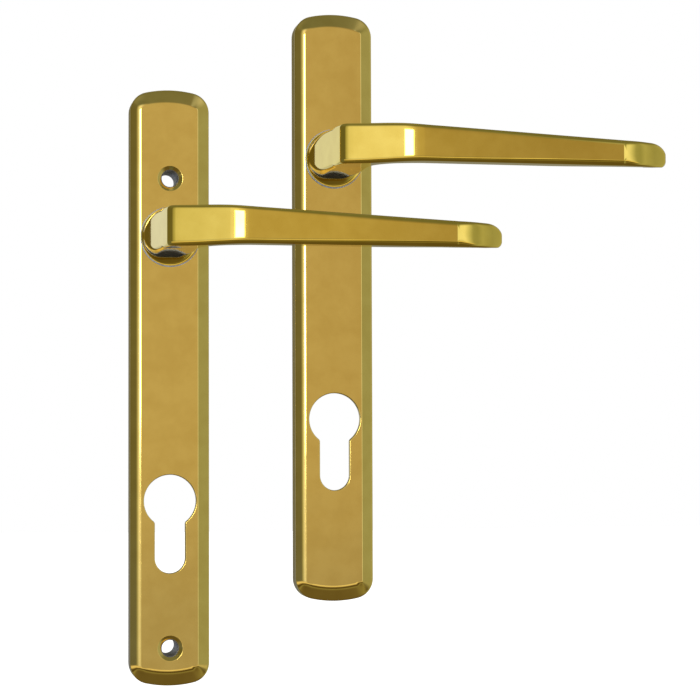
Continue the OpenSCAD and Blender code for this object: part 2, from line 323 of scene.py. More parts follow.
def plate_rim():
    """Points round the plate's outline, each with its outward direction."""
    corner_x = PLATE_W / 2 - CORNER_R
    rise = math.sqrt((END_R - CORNER_R) ** 2 - corner_x**2)
    turn = math.degrees(math.atan2(rise, corner_x))
    middle = (PLATE_UP - PLATE_DOWN) / 2
    end_y = (PLATE_UP + PLATE_DOWN) / 2 - END_R
    corner_y = end_y + rise
    centres = (
        ((corner_x, corner_y), CORNER_R, 0, turn, 14),
        ((0, end_y), END_R, turn, 180 - turn, 20),
        ((-corner_x, corner_y), CORNER_R, 180 - turn, 180, 14),
    )
    rim = []
    for (cx, cy), radius, start, end, steps in centres:
        for i in range(steps + 1):
            a = math.radians(mix(start, end, i / steps))
            point = (cx + radius * math.cos(a), cy + radius * math.sin(a), math.cos(a), math.sin(a))
            if not rim or math.dist(point[:2], rim[-1][:2]) > 1e-6:
                rim.append(point)
    side_steps = 36
    for i in range(1, side_steps):
        rim.append((-PLATE_W / 2, corner_y - 2 * corner_y * i / side_steps, -1.0, 0.0))
    rim += [(-x, -y, -nx, -ny) for x, y, nx, ny in rim]
    return [(x, y + middle, nx, ny) for x, y, nx, ny in rim]


def rim_station(rim, inset_and_z):
    """A ring of points set in from the rim. The argument gives inset and height for a rim point."""
    ring = []
    for point in rim:
        inset, z = inset_and_z(point)
        x, y, nx, ny = point
        ring.append((x - nx * inset, y - ny * inset, z))
    return ring


def bevel_ends(point):
    """Inset and height of the bevel's two corners, at the side wall and at the face, before rounding.
    The bevel is a little wider on the right, and widest at the ends."""
    wide = BEVEL_W + BEVEL_LEAN * point[2] + BEVEL_END * smooth_step(0.3, 1.0, abs(point[3]))
    return (0.0, PLATE_T - BEVEL_D), (wide, PLATE_T)


def crease_at(point, share):
    """Inset and height on the rounded crease between bevel and face, from the bevel, 0, to the face, 1.
    The face rolls off more gently on the left, and most gently round its foot."""
    inset = bevel_ends(point)[1][0]
    slope = math.atan2(BEVEL_D, inset)
    foot = smooth_step(0.2, 0.9, -point[3]) if point[1] < 0 else 0.0
    radius = mix(CREASE_R - CREASE_LEAN * point[2], FOOT_CREASE_R, foot)
    a = slope * (1 - share)
    return inset + radius * (math.tan(slope / 2) - math.sin(a)), PLATE_T - radius * (1 - math.cos(a))


def side_edge_at(point, share):
    """Inset and height on the small round between the side wall, 0, and the bevel, 1."""
    corner, far = bevel_ends(point)
    slope = math.atan2(far[1] - corner[1], far[0] - corner[0])
    first = (0.0, corner[1] - SIDE_EDGE)
    last = (SIDE_EDGE * math.cos(slope), corner[1] + SIDE_EDGE * math.sin(slope))
    weights = ((1 - share) ** 2, 2 * share * (1 - share), share**2)
    return tuple(sum(w * p[i] for w, p in zip(weights, (first, corner, last))) for i in (0, 1))


def shell_rings(rim):
    """Rings from the ceiling of the hollow, round the back rim, and over the front to the face."""
    def fixed(inset, z):
        return rim_station(rim, lambda point: (inset, z))

    hollow = [fixed(WALL_T + ROOT_FILLET + 0.1, INNER_Z)]
    for sin, cos in quarter(30):
        hollow.append(fixed(WALL_T + ROOT_FILLET * (1 - sin), INNER_Z - ROOT_FILLET * (1 - cos)))
    hollow += [fixed(WALL_T, 0.25), fixed(WALL_T - 0.2, 0.0), fixed(RIM_EDGE_R + 0.1, 0.0)]
    front = [fixed(RIM_EDGE_R * (1 - sin), RIM_EDGE_R * (1 - cos)) for sin, cos in quarter(18)]
    for z in (RIM_EDGE_R + 0.15, PLATE_T - BEVEL_D - SIDE_EDGE - 0.15):
        front.append(fixed(0, z))
    for i in range(7):
        front.append(rim_station(rim, lambda p, t=i / 6: side_edge_at(p, t)))
    for t in (0.12, 0.5, 0.88):
        def on_bevel(p, t=t):
            a, b = side_edge_at(p, 1), crease_at(p, 0)
            return mix(a[0], b[0], t), mix(a[1], b[1], t)
        front.append(rim_station(rim, on_bevel))
    for i in range(17):
        front.append(rim_station(rim, lambda p, t=i / 16: crease_at(p, t)))
    front.append(rim_station(rim, lambda p: (crease_at(p, 1)[0] + 0.08, PLATE_T)))
    return hollow, front


def cutout(grow, z):
    """Outline of the cylinder's cut-out, made larger all round by a distance."""
    join_x = CUTOUT_SLOT_R + CUTOUT_JOIN_R
    join_y = -math.sqrt((CUTOUT_R + CUTOUT_JOIN_R) ** 2 - join_x**2)
    slot_y = CUTOUT_R - CUTOUT_H + CUTOUT_SLOT_R
    fall = math.degrees(math.atan2(join_y, join_x))
    join_r = CUTOUT_JOIN_R - grow
    points = arc(0, 0, CUTOUT_R + grow, fall, 180 - fall, 60)
    points += arc(-join_x, join_y, join_r, -fall, 0, 8)[1:]
    points += arc(0, slot_y, CUTOUT_SLOT_R + grow, 180, 360, 32)
    points += arc(join_x, join_y, join_r, 180, 180 + fall, 8)[:-1]
    return [(x, y - CYLINDER_DROP, z) for x, y in points]


def rounded_mouth(radius, lip, depth):
    """Radius and height from the face down into a round hole with a rolled edge."""
    return [(radius + lip * (1 - sin), PLATE_T - depth * (1 - cos)) for sin, cos in quarter(10, 50)]


def add_rib(bm, y):
    """A cast rib right across the hollow, its free edge rounded. Its ends and root lie in the walls."""
    half, reach = RIB_T / 2, PLATE_W / 2 - WALL_T + 0.6
    nose = [(y + dy, RIB_Z + half + dz) for dy, dz in arc(0, 0, half, 180, 360, 10)]
    section = [(y - half, INNER_Z + 0.5)] + nose + [(y + half, INNER_Z + 0.5)]
    ends = [add_ring(bm, [(x, sy, sz) for sy, sz in section]) for x in (-reach, reach)]
    bridge(bm, ends[0], ends[1], RAW_CASTING)
    cap(bm, ends[0], RAW_CASTING)
    cap(bm, ends[1][::-1], RAW_CASTING)


def cylinder_hole():
    """Rings from the face, through the cut-out, to the ceiling of the hollow."""
    edge = 0.3
    rings = [cutout(edge + 0.06, PLATE_T)]
    rings += [cutout(edge * (1 - sin), PLATE_T - edge * (1 - cos)) for sin, cos in quarter(15)]
    return rings + [cutout(0, INNER_Z + 0.15), cutout(0.15, INNER_Z)]


def collar():
    """Rings from the face, down the bush's bore and round the collar, to the ceiling of the hollow."""
    profile = [(BUSH_R + 0.3, PLATE_T), (BUSH_R, PLATE_T - 0.3), (BUSH_R, COLLAR_Z + 0.1)]
    profile += [(BUSH_R + 0.1, COLLAR_Z), (COLLAR_R - 0.15, COLLAR_Z), (COLLAR_R, COLLAR_Z + 0.15)]
    profile += [(COLLAR_R, INNER_Z - 0.3), (COLLAR_R + 0.3, INNER_Z)]
    return turned(0, 0, profile)


BOSS_FOOT = [
    (BOSS_R, INNER_Z - ROOT_FILLET),
    (BOSS_R + 0.15, INNER_Z - 0.15),
    (BOSS_R + ROOT_FILLET, INNER_Z),
]


def drilled_boss(bm, y):
    """A boss with a countersunk screw hole. Returns its rings in the face and in the ceiling."""
    mouth = [(SCREW_LIP_R + 0.4, PLATE_T)] + rounded_mouth(SCREW_LIP_R, 0.3, 0.25)
    mouth.append((SCREW_SINK_R + 0.15, SCREW_SINK_Z + 0.15))
    first, mouth_end = chain(bm, turned(0, y, mouth), BRASS_FACE)
    bore = [(SCREW_HOLE_R, SCREW_SINK_Z - 0.15), (SCREW_HOLE_R, 0.2 - BOSS_BACK)]
    bore += [(SCREW_HOLE_R + 0.2, -BOSS_BACK), (BOSS_R - 0.3, -BOSS_BACK), (BOSS_R, 0.3 - BOSS_BACK)]
    bore_start, last = chain(bm, turned(0, y, bore + BOSS_FOOT), RAW_CASTING)
    bridge(bm, mouth_end, bore_start, RAW_CASTING)
    return first, last


def hung(bm, x, y, profile, steps=64):
    """A turned shape hung from the ceiling, its first ring closed. Returns its ring in the ceiling."""
    first, last = chain(bm, turned(x, y, profile, steps), RAW_CASTING)
    cap(bm, first, RAW_CASTING)
    return last


def post_boss(bm, y):
    """A boss with a pocket where a threaded post is seated."""
    pocket = [(POST_R, INNER_Z - POST_SEAT), (POST_R, 0.2), (POST_R + 0.2, 0.0)]
    pocket += [(BOSS_R - 0.2, 0.0), (BOSS_R, 0.2)]
    return hung(bm, 0, y, pocket + BOSS_FOOT)


def peg(bm):
    """The round peg that the spring's legs bear on."""
    profile = [(0.01, PEG_Z), (PEG_R - 0.3, PEG_Z), (PEG_R - 0.08, PEG_Z + 0.08), (PEG_R, PEG_Z + 0.3)]
    profile += [(PEG_R, INNER_Z - 0.3), (PEG_R + 0.3, INNER_Z)]
    return hung(bm, 0, PEG_Y, profile, 32)


def pillar(bm, x, y):
    """A pillar with a pilot hole for one of the cover's screws."""
    profile = [(PILOT_R, PILOT_END), (PILOT_R, PILLAR_Z), (PILLAR_R - 0.2, PILLAR_Z)]
    profile += [(PILLAR_R, PILLAR_Z + 0.2), (PILLAR_R, INNER_Z - 0.1), (PILLAR_R + 0.05, INNER_Z)]
    return hung(bm, x, y, profile, 32)


def backplate(name, offset, drilled, materials):
    """The hollow casting: bevelled front, cut-out, collar, bosses, peg, pillars and ribs."""
    bm = bmesh.new()
    hollow, front = shell_rings(plate_rim())
    ceiling_ring, hollow_end = chain(bm, hollow, RAW_CASTING)
    front_start, face_ring = chain(bm, front, BRASS_FACE)
    bridge(bm, hollow_end, front_start, RAW_CASTING)

    through = [chain(bm, cylinder_hole(), BRASS_FACE), chain(bm, collar(), RAW_CASTING)]
    if drilled:
        through += [drilled_boss(bm, y) for y in FIXINGS]
    face_holes = [first for first, _ in through]
    ceiling_holes = [last for _, last in through]
    if not drilled:
        ceiling_holes += [post_boss(bm, y) for y in FIXINGS]
    ceiling_holes.append(peg(bm))
    ceiling_holes += [pillar(bm, x, y) for x, y in PILLARS]
    fill(bm, face_ring, face_holes, BRASS_FACE)
    fill(bm, ceiling_ring, ceiling_holes, RAW_CASTING)
    for y in RIBS:
        add_rib(bm, y)
    return make_piece(name, bm, offset, materials)


# ---------------------------------------------------------------- lever
def outer_line():
    """The lever's outer side seen from above, from the foot of the neck to the end of the tip."""
    slope = math.degrees(math.atan2(SLOPE_RISE, BEND_X + NECK_LEFT))
    sin_turn, cos_turn = math.sin(math.radians(TIP_TURN)), math.cos(math.radians(TIP_TURN))
    sin_sweep, cos_sweep = math.sin(math.radians(TIP_SWEEP)), math.cos(math.radians(TIP_SWEEP))
    tip_cx, tip_cz = TIP_X - TIP_R * sin_turn, GRIP_FRONT - TIP_R * cos_turn
    nose_r = (LEVER_REACH - TIP_X - TIP_R * (sin_sweep - sin_turn)) / (1 - sin_sweep)
    nose_x, nose_z = tip_cx + (TIP_R - nose_r) * sin_sweep, tip_cz + (TIP_R - nose_r) * cos_sweep
    lean = math.degrees(math.atan(NECK_LEAN))
    corner = (NECK_CORNER_R - NECK_LEFT, GRIP_FRONT - CORNER_DEPTH)
    bend_x = BEND_X + BEND_R * math.tan(math.radians(slope / 2))
    line = [(-NECK_LEFT - NECK_LEAN * (corner[1] - FLANGE_Z), FLANGE_Z)]
    line += arc(*corner, NECK_CORNER_R, 180 - lean, 90 + slope, 48)
    line += arc(bend_x, GRIP_FRONT - BEND_R, BEND_R, 90 + slope, 90, 40)
    line += arc(tip_cx, tip_cz, TIP_R, 90 - TIP_TURN, 90 - TIP_SWEEP, 48)
    line += arc(nose_x, nose_z, nose_r, 90 - TIP_SWEEP, 0, 64)
    line.append((LEVER_REACH, TIP_END_Z))
    return line


# The neck's straight left side, and the rest of the line from well round its corner.
LEVER_LINE = outer_line()
NECK_SIDE = LEVER_LINE[:2]
PAST_CORNER = LEVER_LINE[30:]


def edge_at(x, neck, bend, tip):
    """Height of the grip's edge: level over the neck, then straight from the bend to the tip."""
    share = (x - BEND_END_X) / (TIP_X - BEND_END_X)
    return mix(neck, mix(bend, tip, min(share, 1.0)), smooth_step(2, BEND_END_X + 2, x))


def top_at(x):
    """Height of the lever's top edge at a place along it."""
    start = LEVER_REACH - TIP_TOP_R
    past = min(max(x - start, 0.0), TIP_TOP_R)
    fall = TIP_FALL * min(max((x - TIP_X) / (start - TIP_X), 0.0), 1.0)
    fall += TIP_TOP_DROP * (1 - math.sqrt(1 - (past / TIP_TOP_R) ** 2))
    return edge_at(x, NECK_H / 2, BEND_TOP, TIP_TOP) - fall


def bottom_at(x):
    """Height of the lever's lower edge at a place along it."""
    past = min(max(x - (LEVER_REACH - TIP_CORNER_R), 0.0), TIP_CORNER_R)
    rise = TIP_CORNER_R - math.sqrt(TIP_CORNER_R**2 - past**2)
    return edge_at(x, -NECK_H / 2, BEND_BOTTOM, TIP_BOTTOM) + rise


CORNER_TURNS = tuple((1 - i / 10) ** 1.6 for i in range(11))
FLAT_SHARES = (0.03, 0.12, 0.32, 0.5, 0.68, 0.88, 0.97)


def edge_curve():
    """A corner's curve, from the edge inwards: how far it has gone along the width and the height where
    its tilt is each share of a right angle. The tilt falls as the cube of the distance left to run."""
    curve = []
    w = h = 0.0
    steps = 400
    for i in range(steps + 1):
        left = 1 - i / steps
        curve.append((left**3, w, h))
        w += math.sin(left**3 * math.pi / 2) / steps
        h += math.cos(left**3 * math.pi / 2) / steps
    return [(tilt, along / h, across / h) for tilt, along, across in curve]


EDGE_CURVE = edge_curve()


def corner_points(size, start):
    """A corner's (along the width, along the height) steps from the top or bottom edge to the side.
    Start is the tilt, as a share of a right angle, at which a flat front cuts the corner short."""
    points = []
    for turn in CORNER_TURNS:
        tilt = mix(start, 1.0, turn)
        points.append(min(EDGE_CURVE, key=lambda p: abs(p[0] - tilt))[1:])
    deep = points[-1][0]
    return [(size * (deep - along), size * across) for along, across in points]


def section(width, height, corners):
    """A rounded rectangle as (from outer side, from top) pairs, from the outer side's top corner round
    by the bottom. corners holds (size, start) for outer top, outer bottom, inner bottom, inner top."""
    outer_top, outer_bottom, inner_bottom, inner_top = (corner_points(*c) for c in corners)
    points = list(outer_top)
    points += [(0.0, mix(outer_top[-1][1], height - outer_bottom[-1][1], t)) for t in FLAT_SHARES]
    points += [(w, height - h) for w, h in reversed(outer_bottom)]
    points += [(mix(outer_bottom[0][0], width - inner_bottom[0][0], t), height) for t in FLAT_SHARES]
    points += [(width - w, height - h) for w, h in inner_bottom]
    points += [(width, mix(height - inner_bottom[-1][1], inner_top[-1][1], t)) for t in FLAT_SHARES]
    points += [(width - w, h) for w, h in reversed(inner_top)]
    points += [(mix(width - inner_top[0][0], outer_top[0][0], t), 0.0) for t in FLAT_SHARES]
    return points


def lever_ring(outer, inner, corners, low=bottom_at, high=top_at):
    """A ring of the lever between an outer and an inner point of its plan."""
    width = math.dist(outer, inner)
    height = high(outer[0]) - low(outer[0]) if outer[0] < TIP_X else GRIP_END_H
    ring = []
    for along, fall in section(width, height, corners):
        x = mix(outer[0], inner[0], along / width)
        z = mix(outer[1], inner[1], along / width)
        ring.append((x, mix(high(x), low(x), fall / height), z))
    return ring


def level_ring(left, right, half, corner, z):
    """A level ring of the neck or shank: a rounded rectangle, or nearly a circle with a large corner.
    The corner stops short of half a side, so that no two points meet."""
    width = left + right
    corner = min(corner, width / 2 - 0.05, half - 0.05)
    points = []
    for (cx, cy), turn in zip(((-1, 1), (-1, -1), (1, -1), (1, 1)), (90, 180, 270, 0)):
        middle = (cx * (width / 2 - corner), cy * (half - corner))
        points.append(arc(*middle, corner, turn, turn + 90, 10))
    ring = []
    for start, end in zip(points, points[1:] + points[:1]):
        ring += start
        ring += [tuple(mix(p, q, t) for p, q in zip(start[-1], end[0])) for t in FLAT_SHARES]
    return [(x + (right - left) / 2, y, z) for x, y in ring]


def round_ring(radius, z, flat=None):
    """A circle, its sides cut off at a distance from the axis if flats are given."""
    ring = level_ring(radius, radius, radius, radius, z)
    spun = [(x * radius / math.hypot(x, y), y * radius / math.hypot(x, y), z) for x, y, z in ring]
    if flat is None:
        return spun
    return [(max(-flat, min(flat, x)), y, z) for x, y, z in spun]


def square_ring(half, z):
    """The square of the spindle's socket, with as many points as a circle."""
    ring = round_ring(1.0, z)
    return [(x * half / max(abs(x), abs(y)), y * half / max(abs(x), abs(y)), z) for x, y, _ in ring]


def shank_rings():
    """From the end of the spindle's socket, out round the shank's end and up to the flange's rim."""
    rings = [square_ring(SOCKET_HALF, SOCKET_END_Z), square_ring(SOCKET_HALF, SHANK_END_Z + 0.3)]
    rings.append(square_ring(SOCKET_HALF + 0.3, SHANK_END_Z))
    rings.append(round_ring(SHANK_R - 0.3, SHANK_END_Z, SHANK_FLAT - 0.1))
    rings += [round_ring(SHANK_R, z, SHANK_FLAT) for z in (SHANK_END_Z + 0.2, GROOVE_Z[0])]
    rings += [round_ring(GROOVE_R, z, SHANK_FLAT) for z in GROOVE_Z]
    rings += [round_ring(SHANK_R, z, SHANK_FLAT) for z in (GROOVE_Z[1], FLATS_TOP_Z)]
    rings += [round_ring(SHANK_R, z) for z in (FLATS_TOP_Z, FLANGE_Z)]
    for sin, cos in quarter(30):
        rings.append(round_ring(FLANGE_R - 0.2 + 0.2 * sin, FLANGE_Z + 0.2 - 0.2 * cos))
    return rings


def cross_left(z):
    """How far the neck's left side is from the axis."""
    return -cross_at(NECK_SIDE, z, 1)


def neck_ring(z):
    """A level ring of the neck: round at the flange, a rounded rectangle at the grip. Its left side leans."""
    start, top = FLANGE_Z + FLARE_START, BACK_Z - INNER_FILLET_R
    past = min((z - start) / FLARE_H, 1.0)
    flare = 1 - math.sqrt(1 - (1 - past) ** 2)
    rise = (z - start) / (top - start)
    left = cross_left(z)
    right = NECK_RIGHT + NECK_DRAFT_RIGHT * (1 - rise)
    half = NECK_H / 2 + NECK_DRAFT * (1 - rise)
    left += (FLANGE_R - left) * flare**2
    right, half = (side + (FLANGE_R - side) * flare for side in (right, half))
    flat = NECK_FLAT * math.sin(math.pi / 2 * min(rise * 1.4, 1.0)) ** 0.8
    return level_ring(left, right, half, max(half - flat, NECK_EDGE_R), z)


def neck_rings():
    """The flare above the flange, and the neck up to the inner fillet."""
    start, top = FLANGE_Z + FLARE_START, BACK_Z - INNER_FILLET_R
    heights = [start + FLARE_H * (1 - math.cos(math.radians(7.5 * step))) for step in range(13)]
    heights += [mix(start + FLARE_H, top, step / 20) for step in range(1, 20)]
    return [neck_ring(z) for z in heights]


def grip_corners(x):
    """Corner sizes along the grip. A flat is cut along its front, with crisper edges towards the tip."""
    along = smooth_step(*FLAT_RUN, x)
    size = mix(GRIP_EDGE_R, GRIP_END_H / 2 - 0.05, along)
    start = mix(0.0, FLAT_TILT, along)
    if x > TIP_X:
        size = mix(size, TIP_EDGE_R, smooth_step(TIP_X, TIP_X + 7, x))
        start = mix(start, 0.0, smooth_step(TIP_X, TIP_X + 0.8, x))
    return (size, start), (size, start), (GRIP_EDGE_R, 0.0), (GRIP_EDGE_R, 0.0)


def blend_corners(a, b, t):
    """Corner sizes and starts, a share of the way from one set to another."""
    return tuple(tuple(mix(m, n, t) for m, n in zip(p, q)) for p, q in zip(a, b))


def tip_lift(x, y, z):
    """How much the underside rises towards the back, at and near the tip."""
    turned_back = TIP_LIFT * max(GRIP_FRONT - TIP_LIFT_DEPTH - z, 0.0) * smooth_step(1.0, TIP_BOTTOM, y)
    return turned_back * smooth_step(TIP_X - TIP_LIFT_RUN, TIP_X + 4, x)


SHOULDER = (NECK_RIGHT + INNER_FILLET_R, BACK_Z - INNER_FILLET_R)
TIP_CENTRE = (LEVER_REACH - 2 * TIP_NOSE_END_R - TIP_INNER_R, BACK_Z - TIP_INNER_R)
BEFORE_TIP = (5.6, 5, 4.2, 3.4, 2.7, 2.1, 1.6, 1.2, 0.9, 0.6, 0.4, 0.25, 0.13, 0.05, 0.015)
PAST_TIP = (0.015, 0.06, 0.2, 0.5, 1.1, 2.0, 2.8)


def swung(centre, radius, angle):
    """Outer and inner point of the plan, seen from a centre at an angle, the inner at a radius from it."""
    a = math.radians(angle)
    inner = (centre[0] + radius * math.cos(a), centre[1] + radius * math.sin(a))
    return ray_hit(LEVER_LINE, centre, angle), inner


def shoulder_rings():
    """Round the fillet under the grip, the edges growing from the neck's to the grip's."""
    angles = [180, 174, 169, 165] + [163.5 - 0.75 * i for i in range(16)]
    angles += [150, 146, 140, 133, 126, 118, 110, 102, 96]
    crisp = [(SHOULDER_EDGE_R, 0.0)] * 4
    rings = []
    for angle in angles:
        outer, inner = swung(SHOULDER, INNER_FILLET_R, angle)
        corners = blend_corners(crisp, grip_corners(0), smooth_step(172, 152, angle))
        rings.append(lever_ring(outer, inner, corners))
    return rings


def straight_rings():
    """Along the grip, close together over the bend and at the end of the flat on its front."""
    places = [SHOULDER[0] + 0.45 * i for i in range(18)] + [24 + 5.5 * i for i in range(11)]
    places += [TIP_X - d for d in BEFORE_TIP] + [TIP_X + d for d in PAST_TIP]
    return [lever_ring((x, cross_at(PAST_CORNER, x, 0)), (x, BACK_Z), grip_corners(x)) for x in places]


def tip_rings():
    """Round the back of the tip, where it turns towards the door."""
    ends = [swung(TIP_CENTRE, TIP_INNER_R, angle) for angle in range(90, -1, -3)]
    return [lever_ring(outer, inner, grip_corners(outer[0])) for outer, inner in ends]


def nose_rings():
    """The rounded end of the tip, drawn in on every side."""
    end_x = LEVER_REACH - TIP_NOSE_END_R
    rings = []
    for angle in range(10, 81, 10):
        a = math.radians(angle)
        z = mix(TIP_CENTRE[1], TIP_END_Z, math.sin(a))
        half = TIP_NOSE_END_R * math.cos(a)
        share = half / TIP_NOSE_END_R
        narrow = [(size * mix(NOSE_END_EDGE, 1, share), start) for size, start in grip_corners(LEVER_REACH)]
        ring = lever_ring((end_x + half, z), (end_x - half, z), narrow)
        middle = sum(y for _, y, _ in ring) / len(ring)
        rings.append([(x, mix(middle, y, mix(NOSE_END_H, 1, share)), z) for x, y, z in ring])
    return rings


def grip_rings():
    """From the top of the neck, round the shoulder and along the grip to the end of the tip."""
    rings = shoulder_rings() + straight_rings() + tip_rings() + nose_rings()
    return [[(x, y + tip_lift(x, y, z), z) for x, y, z in ring] for ring in rings]


def lever(name, offset, materials):
    """The lever in one casting: shank, flange, neck, grip and tip."""
    bm = bmesh.new()
    first, last = chain(bm, shank_rings() + neck_rings() + grip_rings())
    cap(bm, first)
    cap(bm, last)
    return make_piece(name, bm, offset, materials, 35)


# ---------------------------------------------------------------- return spring
def spring_line():
    """Centre line of the torsion spring: a leg, the coil, the other leg."""
    lean = math.asin(LEG_X / SPRING_R)
    sweep = 2 * math.pi * COIL_TURNS - 2 * lean
    steps = 160
    points = [(LEG_X, mix(LEG_END_Y, -SPRING_R, t), COIL_Z) for t in (0, 0.3, 0.6, 0.85)]
    for i in range(steps + 1):
        a = -math.pi / 2 + lean + sweep * i / steps
        points.append((SPRING_R * math.cos(a), SPRING_R * math.sin(a), COIL_Z + COIL_RISE * i / steps))
    points += [(-LEG_X, mix(LEG_END_Y, -SPRING_R, t), COIL_Z + COIL_RISE) for t in (0.85, 0.6, 0.3, 0)]
    return [Vector(p) for p in points]


def return_spring(name, offset, materials):
    """The torsion spring: a round wire along its centre line."""
    bm = bmesh.new()
    line = spring_line()
    rings = []
    for i, point in enumerate(line):
        heading = (line[min(i + 1, len(line) - 1)] - line[max(i - 1, 0)]).normalized()
        across = heading.cross(Vector((0, 0, 1))).normalized()
        up = across.cross(heading)
        turns = (2 * math.pi * k / 16 for k in range(16))
        rings.append([point + WIRE_R * (across * math.cos(a) + up * math.sin(a)) for a in turns])
    first, last = chain(bm, rings)
    cap(bm, first)
    cap(bm, last)
    return make_piece(name, bm, offset, materials, 50)


# ---------------------------------------------------------------- materials
def new_material(name):
    """A material, its nodes and links, and its shader."""
    material = bpy.data.materials.new(name)
    material.use_nodes = True
    nodes, links = material.node_tree.nodes, material.node_tree.links
    return material, nodes, links, nodes["Principled BSDF"]


def noise(nodes, links, scale, detail, stretch=(1, 1, 1)):
    """A noise texture in object space, in features per metre."""
    place = nodes.new("ShaderNodeTexCoord")
    mapping = nodes.new("ShaderNodeMapping")
    mapping.inputs["Scale"].default_value = stretch
    texture = nodes.new("ShaderNodeTexNoise")
    texture.inputs["Scale"].default_value = scale
    texture.inputs["Detail"].default_value = detail
    links.new(place.outputs["Object"], mapping.inputs["Vector"])
    links.new(mapping.outputs["Vector"], texture.inputs["Vector"])
    return texture.outputs["Fac"]


def ramp(nodes, links, source, stops):
    """A colour ramp over a value. stops holds (place, colour)."""
    node = nodes.new("ShaderNodeValToRGB")
    elements = node.color_ramp.elements
    while len(elements) < len(stops):
        elements.new(0.5)
    for element, (place, colour) in zip(elements, stops):
        element.position = place
        element.color = (*colour, 1)
    links.new(source, node.inputs["Fac"])
    return node.outputs["Color"]


def spread(nodes, links, source, low, high):
    """A value from noise, spread over a range."""
    node = nodes.new("ShaderNodeMapRange")
    node.inputs["From Min"].default_value = 0.3
    node.inputs["From Max"].default_value = 0.7
    node.inputs["To Min"].default_value = low
    node.inputs["To Max"].default_value = high
    links.new(source, node.inputs["Value"])
    return node.outputs["Result"]


def bump(nodes, links, shader, source, distance, strength=1.0):
    """Relief from a value, its height in metres."""
    node = nodes.new("ShaderNodeBump")
    node.inputs["Strength"].default_value = strength
    node.inputs["Distance"].default_value = distance
    links.new(source, node.inputs["Height"])
    links.new(node.outputs["Normal"], shader.inputs["Normal"])


def polished_brass(name, deep, pale, rough):
    """Mirror-polished, lacquered brass plate: faint mottling, fine polishing haze, and a slight ripple."""
    material, nodes, links, shader = new_material(name)
    mottle = noise(nodes, links, 160, 5)
    haze = noise(nodes, links, 900, 6, (1, 1, 0.35))
    ripple = noise(nodes, links, 70, 2)
    links.new(ramp(nodes, links, mottle, ((0.35, deep), (0.65, pale))), shader.inputs["Base Color"])
    links.new(spread(nodes, links, haze, *rough), shader.inputs["Roughness"])
    shader.inputs["Metallic"].default_value = 1.0
    bump(nodes, links, shader, ripple, 0.00003)
    return material


def raw_casting():
    """The unplated zinc alloy inside the plates: dull grey, with the grain of the die."""
    material, nodes, links, shader = new_material("raw_casting")
    patches = noise(nodes, links, 240, 6)
    grain = noise(nodes, links, 2600, 4)
    tones = ((0.3, (0.17, 0.17, 0.175)), (0.7, (0.34, 0.34, 0.35)))
    links.new(ramp(nodes, links, patches, tones), shader.inputs["Base Color"])
    links.new(spread(nodes, links, patches, 0.38, 0.55), shader.inputs["Roughness"])
    shader.inputs["Metallic"].default_value = 0.85
    bump(nodes, links, shader, grain, 0.00008, 0.6)
    return material


def plated_steel():
    """Bright zinc plate with faint blue and straw tints."""
    material, nodes, links, shader = new_material("plated_steel")
    tint = noise(nodes, links, 180, 3)
    scratch = noise(nodes, links, 1500, 4, (1, 0.1, 1))
    tones = ((0.35, (0.5, 0.53, 0.58)), (0.5, (0.62, 0.63, 0.64)), (0.68, (0.64, 0.61, 0.53)))
    links.new(ramp(nodes, links, tint, tones), shader.inputs["Base Color"])
    links.new(spread(nodes, links, scratch, 0.22, 0.38), shader.inputs["Roughness"])
    shader.inputs["Metallic"].default_value = 1.0
    bump(nodes, links, shader, scratch, 0.00002)
    return material


def spring_steel():
    """Drawn spring wire: dark, slightly oily steel with draw marks."""
    material, nodes, links, shader = new_material("spring_steel")
    marks = noise(nodes, links, 1800, 3, (1, 1, 0.3))
    tones = ((0.3, (0.2, 0.2, 0.21)), (0.7, (0.34, 0.34, 0.35)))
    links.new(ramp(nodes, links, marks, tones), shader.inputs["Base Color"])
    links.new(spread(nodes, links, marks, 0.2, 0.34), shader.inputs["Roughness"])
    shader.inputs["Metallic"].default_value = 1.0
    return material


def moulded(name, dark, light, rough, soft=0.0):
    """A moulded plastic with a faint flow pattern and a fine satin grain."""
    material, nodes, links, shader = new_material(name)
    flow = noise(nodes, links, 220, 3)
    grain = noise(nodes, links, 3000, 2)
    links.new(ramp(nodes, links, flow, ((0.3, dark), (0.7, light))), shader.inputs["Base Color"])
    links.new(spread(nodes, links, flow, *rough), shader.inputs["Roughness"])
    shader.inputs["Subsurface Weight"].default_value = soft
    shader.inputs["Subsurface Scale"].default_value = 0.0008
    bump(nodes, links, shader, grain, 0.00003, 0.5)
    return material


PLATE_BRASS = polished_brass("plate_brass", (0.82, 0.62, 0.15), (0.88, 0.68, 0.175), (0.05, 0.09))
LEVER_BRASS = polished_brass("lever_brass", (0.8, 0.6, 0.095), (0.86, 0.66, 0.115), (0.035, 0.06))
RAW = raw_casting()
STEEL = plated_steel()
SPRING = spring_steel()
NYLON = moulded("natural_nylon", (0.7, 0.66, 0.55), (0.8, 0.77, 0.68), (0.35, 0.5), 0.15)
WASHER = moulded("grey_washer", (0.2, 0.225, 0.26), (0.3, 0.33, 0.38), (0.3, 0.45))


# ---------------------------------------------------------------- pieces
def finish_piece(piece, body, node):
    """The body a piece moves with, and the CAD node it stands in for."""
    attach(piece, body)
    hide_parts(node)


AXES = {j["child"].split("_")[0]: Vector(j["pos_m"]) for j in frame["joints"]}
for side, offset in AXES.items():
    plate = backplate(side + "_plate_casting", offset, side == "inside", [PLATE_BRASS, RAW])
    finish_piece(plate, "root", side + "_backplate")
    handle = lever(side + "_lever_handle", offset, [LEVER_BRASS])
    finish_piece(handle, side + "_lever", side + "_lever")
    handle.visible_glossy = False
    spring = return_spring(side + "_torsion_spring", offset, [SPRING])
    finish_piece(spring, "root", side + "_return_spring")

